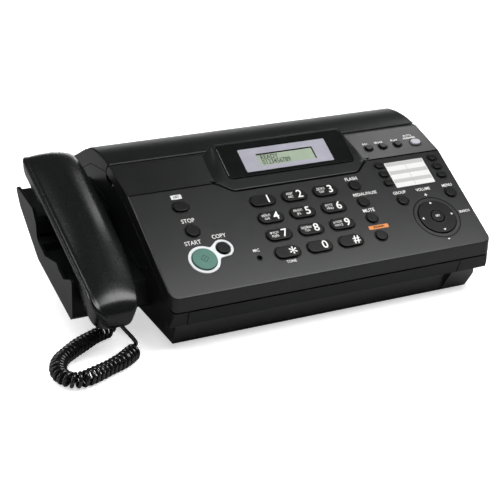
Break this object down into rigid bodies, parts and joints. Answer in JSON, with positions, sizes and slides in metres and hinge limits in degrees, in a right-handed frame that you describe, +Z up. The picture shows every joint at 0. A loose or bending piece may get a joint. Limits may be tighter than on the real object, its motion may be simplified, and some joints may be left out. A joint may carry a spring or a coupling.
{
  "type": "fax machine",
  "caption": "Black desktop thermal-paper fax machine with a sloping key panel, raised display and a corded handset on a side cradle.",
  "frame": {"origin": "middle of the machine's footprint (case and handset cradle, without the cord) on the table", "axes": "+X towards the machine's right, +Y towards its rear, +Z up"},
  "size_m": [0.3843, 0.2437, 0.1195],
  "materials": {
    "case_plastic": "fine-textured satin black",
    "panel_plastic": "satin charcoal",
    "key_plastic": "smooth satin black",
    "green_key": "satin green",
    "silver_key": "silver paint",
    "window": "glossy dark",
    "handset_plastic": "smooth satin black",
    "cord": "glossy black",
    "rubber": "matte black",
    "steel": "plated",
    "aluminium": "satin",
    "circuit_board": "solder-masked board",
    "gear_plastic": "natural acetal",
    "paper": "smooth thermal paper"
  },
  "bodies": {
    "case": {"lower_case": "case_plastic", "upper_case": "case_plastic", "rubber_feet": "rubber", "case_screws": "steel", "main_board": "circuit_board", "power_supply": "circuit_board", "speaker": "steel", "thermal_head": "aluminium", "feed_motor": "steel", "handset_cord": "cord"},
    "operation_panel": {"keypad_panel": "panel_plastic", "display_panel": "case_plastic", "display_window": "window", "control_board": "circuit_board", "image_sensor": "window"},
    "rear_cover": {"top_cover": "case_plastic"},
    "handset": {"handset_shell": "handset_plastic", "handset_cover": "handset_plastic"},
    "hook": {"hook_switch": "case_plastic"},
    "guide_left": {"document_guide_left": "case_plastic"},
    "guide_right": {"document_guide_right": "case_plastic"},
    "platen": {"platen_roller": "rubber"},
    "idler": {"idler_gear": "gear_plastic"},
    "document_feed": {"document_roller": "rubber"},
    "motor_shaft": {"motor_pinion": "gear_plastic"},
    "paper": {"paper_roll": "paper"},
    "navigator": {"navigator_ring": "panel_plastic"},
    "key_1": {"key_1": "key_plastic"},
    "key_2": {"key_2": "key_plastic"},
    "key_3": {"key_3": "key_plastic"},
    "key_4": {"key_4": "key_plastic"},
    "key_5": {"key_5": "key_plastic"},
    "key_6": {"key_6": "key_plastic"},
    "key_7": {"key_7": "key_plastic"},
    "key_8": {"key_8": "key_plastic"},
    "key_9": {"key_9": "key_plastic"},
    "key_star": {"key_star": "key_plastic"},
    "key_0": {"key_0": "key_plastic"},
    "key_hash": {"key_hash": "key_plastic"},
    "flash_key": {"flash_key": "key_plastic"},
    "redial_pause_key": {"redial_pause_key": "key_plastic"},
    "mute_key": {"mute_key": "key_plastic"},
    "speakerphone_key": {"speakerphone_key": "key_plastic"},
    "one_touch_key_1": {"one_touch_key_1": "key_plastic"},
    "one_touch_key_2": {"one_touch_key_2": "key_plastic"},
    "one_touch_key_3": {"one_touch_key_3": "key_plastic"},
    "one_touch_key_4": {"one_touch_key_4": "key_plastic"},
    "one_touch_key_5": {"one_touch_key_5": "key_plastic"},
    "one_touch_key_6": {"one_touch_key_6": "key_plastic"},
    "broadcast_key": {"broadcast_key": "key_plastic"},
    "menu_key": {"menu_key": "key_plastic"},
    "caller_id_key": {"caller_id_key": "key_plastic"},
    "stop_key": {"stop_key": "key_plastic"},
    "start_key": {"start_key": "green_key"},
    "copy_key": {"copy_key": "key_plastic"},
    "set_key": {"set_key": "key_plastic"},
    "record_key": {"record_key": "key_plastic"},
    "erase_key": {"erase_key": "key_plastic"},
    "playback_key": {"playback_key": "key_plastic"},
    "auto_answer_key": {"auto_answer_key": "silver_key"}
  },
  "joints": [
    {"name": "panel_hinge", "type": "hinge", "parent": "case", "child": "operation_panel", "pos_m": [0.031, 0.01403, 0.10288], "axis": [-1, 0, 0], "range_deg": [0, 35]},
    {"name": "cover_hinge", "type": "hinge", "parent": "case", "child": "rear_cover", "pos_m": [0.031, 0.104, 0.08], "axis": [-1, 0, 0], "range_deg": [0, 58]},
    {"name": "handset_lift", "type": "slide", "parent": "case", "child": "handset", "axis": [0, 0, 1], "range_m": [0, 0.1]},
    {"name": "hook_travel", "type": "slide", "parent": "case", "child": "hook", "axis": [0, 0, 1], "range_m": [0, 0.003]},
    {"name": "guide_left_slide", "type": "slide", "parent": "rear_cover", "child": "guide_left", "axis": [1, 0, 0], "range_m": [0, 0.055]},
    {"name": "guide_right_slide", "type": "slide", "parent": "rear_cover", "child": "guide_right", "axis": [1, 0, 0], "range_m": [-0.055, 0]},
    {"name": "platen_spin", "type": "hinge", "parent": "case", "child": "platen", "pos_m": [0.01, -0.05, 0.044], "axis": [1, 0, 0], "continuous": true},
    {"name": "idler_spin", "type": "hinge", "parent": "case", "child": "idler", "pos_m": [0.128, -0.01985, 0.04269], "axis": [1, 0, 0], "continuous": true},
    {"name": "document_spin", "type": "hinge", "parent": "case", "child": "document_feed", "pos_m": [0.01, -0.007, 0.07], "axis": [1, 0, 0], "continuous": true},
    {"name": "pinion_spin", "type": "hinge", "parent": "case", "child": "motor_shaft", "pos_m": [0.128, 0.00396, 0.03849], "axis": [1, 0, 0], "continuous": true},
    {"name": "paper_spin", "type": "hinge", "parent": "case", "child": "paper", "pos_m": [0.01, 0.066, 0.046], "axis": [1, 0, 0], "continuous": true},
    {"name": "navigator_tilt", "type": "hinge", "parent": "operation_panel", "child": "navigator", "pos_m": [0.1384, -0.08241, 0.06286], "axis": [1, 0, 0], "range_deg": [-3, 3]},
    {"name": "key_1_press", "type": "slide", "parent": "operation_panel", "child": "key_1", "axis": [0, 0.5, -0.866], "range_m": [0, 0.0012]},
    {"name": "key_2_press", "type": "slide", "parent": "operation_panel", "child": "key_2", "axis": [0, 0.5, -0.866], "range_m": [0, 0.0012]},
    {"name": "key_3_press", "type": "slide", "parent": "operation_panel", "child": "key_3", "axis": [0, 0.5, -0.866], "range_m": [0, 0.0012]},
    {"name": "key_4_press", "type": "slide", "parent": "operation_panel", "child": "key_4", "axis": [0, 0.5, -0.866], "range_m": [0, 0.0012]},
    {"name": "key_5_press", "type": "slide", "parent": "operation_panel", "child": "key_5", "axis": [0, 0.5, -0.866], "range_m": [0, 0.0012]},
    {"name": "key_6_press", "type": "slide", "parent": "operation_panel", "child": "key_6", "axis": [0, 0.5, -0.866], "range_m": [0, 0.0012]},
    {"name": "key_7_press", "type": "slide", "parent": "operation_panel", "child": "key_7", "axis": [0, 0.5, -0.866], "range_m": [0, 0.0012]},
    {"name": "key_8_press", "type": "slide", "parent": "operation_panel", "child": "key_8", "axis": [0, 0.5, -0.866], "range_m": [0, 0.0012]},
    {"name": "key_9_press", "type": "slide", "parent": "operation_panel", "child": "key_9", "axis": [0, 0.5, -0.866], "range_m": [0, 0.0012]},
    {"name": "key_star_press", "type": "slide", "parent": "operation_panel", "child": "key_star", "axis": [0, 0.5, -0.866], "range_m": [0, 0.0012]},
    {"name": "key_0_press", "type": "slide", "parent": "operation_panel", "child": "key_0", "axis": [0, 0.5, -0.866], "range_m": [0, 0.0012]},
    {"name": "key_hash_press", "type": "slide", "parent": "operation_panel", "child": "key_hash", "axis": [0, 0.5, -0.866], "range_m": [0, 0.0012]},
    {"name": "flash_press", "type": "slide", "parent": "operation_panel", "child": "flash_key", "axis": [0, 0.5, -0.866], "range_m": [0, 0.0012]},
    {"name": "redial_pause_press", "type": "slide", "parent": "operation_panel", "child": "redial_pause_key", "axis": [0, 0.5, -0.866], "range_m": [0, 0.0012]},
    {"name": "mute_press", "type": "slide", "parent": "operation_panel", "child": "mute_key", "axis": [0, 0.5, -0.866], "range_m": [0, 0.0012]},
    {"name": "speakerphone_press", "type": "slide", "parent": "operation_panel", "child": "speakerphone_key", "axis": [0, 0.5, -0.866], "range_m": [0, 0.0012]},
    {"name": "one_touch_key_1_press", "type": "slide", "parent": "operation_panel", "child": "one_touch_key_1", "axis": [0, 0.5, -0.866], "range_m": [0, 0.0012]},
    {"name": "one_touch_key_2_press", "type": "slide", "parent": "operation_panel", "child": "one_touch_key_2", "axis": [0, 0.5, -0.866], "range_m": [0, 0.0012]},
    {"name": "one_touch_key_3_press", "type": "slide", "parent": "operation_panel", "child": "one_touch_key_3", "axis": [0, 0.5, -0.866], "range_m": [0, 0.0012]},
    {"name": "one_touch_key_4_press", "type": "slide", "parent": "operation_panel", "child": "one_touch_key_4", "axis": [0, 0.5, -0.866], "range_m": [0, 0.0012]},
    {"name": "one_touch_key_5_press", "type": "slide", "parent": "operation_panel", "child": "one_touch_key_5", "axis": [0, 0.5, -0.866], "range_m": [0, 0.0012]},
    {"name": "one_touch_key_6_press", "type": "slide", "parent": "operation_panel", "child": "one_touch_key_6", "axis": [0, 0.5, -0.866], "range_m": [0, 0.0012]},
    {"name": "broadcast_press", "type": "slide", "parent": "operation_panel", "child": "broadcast_key", "axis": [0, 0.5, -0.866], "range_m": [0, 0.0012]},
    {"name": "menu_press", "type": "slide", "parent": "operation_panel", "child": "menu_key", "axis": [0, 0.5, -0.866], "range_m": [0, 0.0012]},
    {"name": "caller_id_press", "type": "slide", "parent": "operation_panel", "child": "caller_id_key", "axis": [0, 0.5, -0.866], "range_m": [0, 0.0012]},
    {"name": "stop_press", "type": "slide", "parent": "operation_panel", "child": "stop_key", "axis": [0, 0.5, -0.866], "range_m": [0, 0.0012]},
    {"name": "start_press", "type": "slide", "parent": "operation_panel", "child": "start_key", "axis": [0, 0.5, -0.866], "range_m": [0, 0.0012]},
    {"name": "copy_press", "type": "slide", "parent": "operation_panel", "child": "copy_key", "axis": [0, 0.5, -0.866], "range_m": [0, 0.0012]},
    {"name": "set_press", "type": "slide", "parent": "operation_panel", "child": "set_key", "axis": [0, 0.5, -0.866], "range_m": [0, 0.0012]},
    {"name": "record_press", "type": "slide", "parent": "operation_panel", "child": "record_key", "axis": [0, 0.2756, -0.9613], "range_m": [0, 0.0012]},
    {"name": "erase_press", "type": "slide", "parent": "operation_panel", "child": "erase_key", "axis": [0, 0.2756, -0.9613], "range_m": [0, 0.0012]},
    {"name": "playback_press", "type": "slide", "parent": "operation_panel", "child": "playback_key", "axis": [0, 0.2756, -0.9613], "range_m": [0, 0.0012]},
    {"name": "auto_answer_press", "type": "slide", "parent": "operation_panel", "child": "auto_answer_key", "axis": [0, 0.2756, -0.9613], "range_m": [0, 0.0012]}
  ],
  "couplings": [
    {"joint": "hook_travel", "follows": "handset_lift", "ratio": 0.03},
    {"joint": "guide_right_slide", "follows": "guide_left_slide", "ratio": -1},
    {"joint": "idler_spin", "follows": "platen_spin", "ratio": -0.66667},
    {"joint": "document_spin", "follows": "platen_spin", "ratio": 1},
    {"joint": "pinion_spin", "follows": "platen_spin", "ratio": 2}
  ]
}
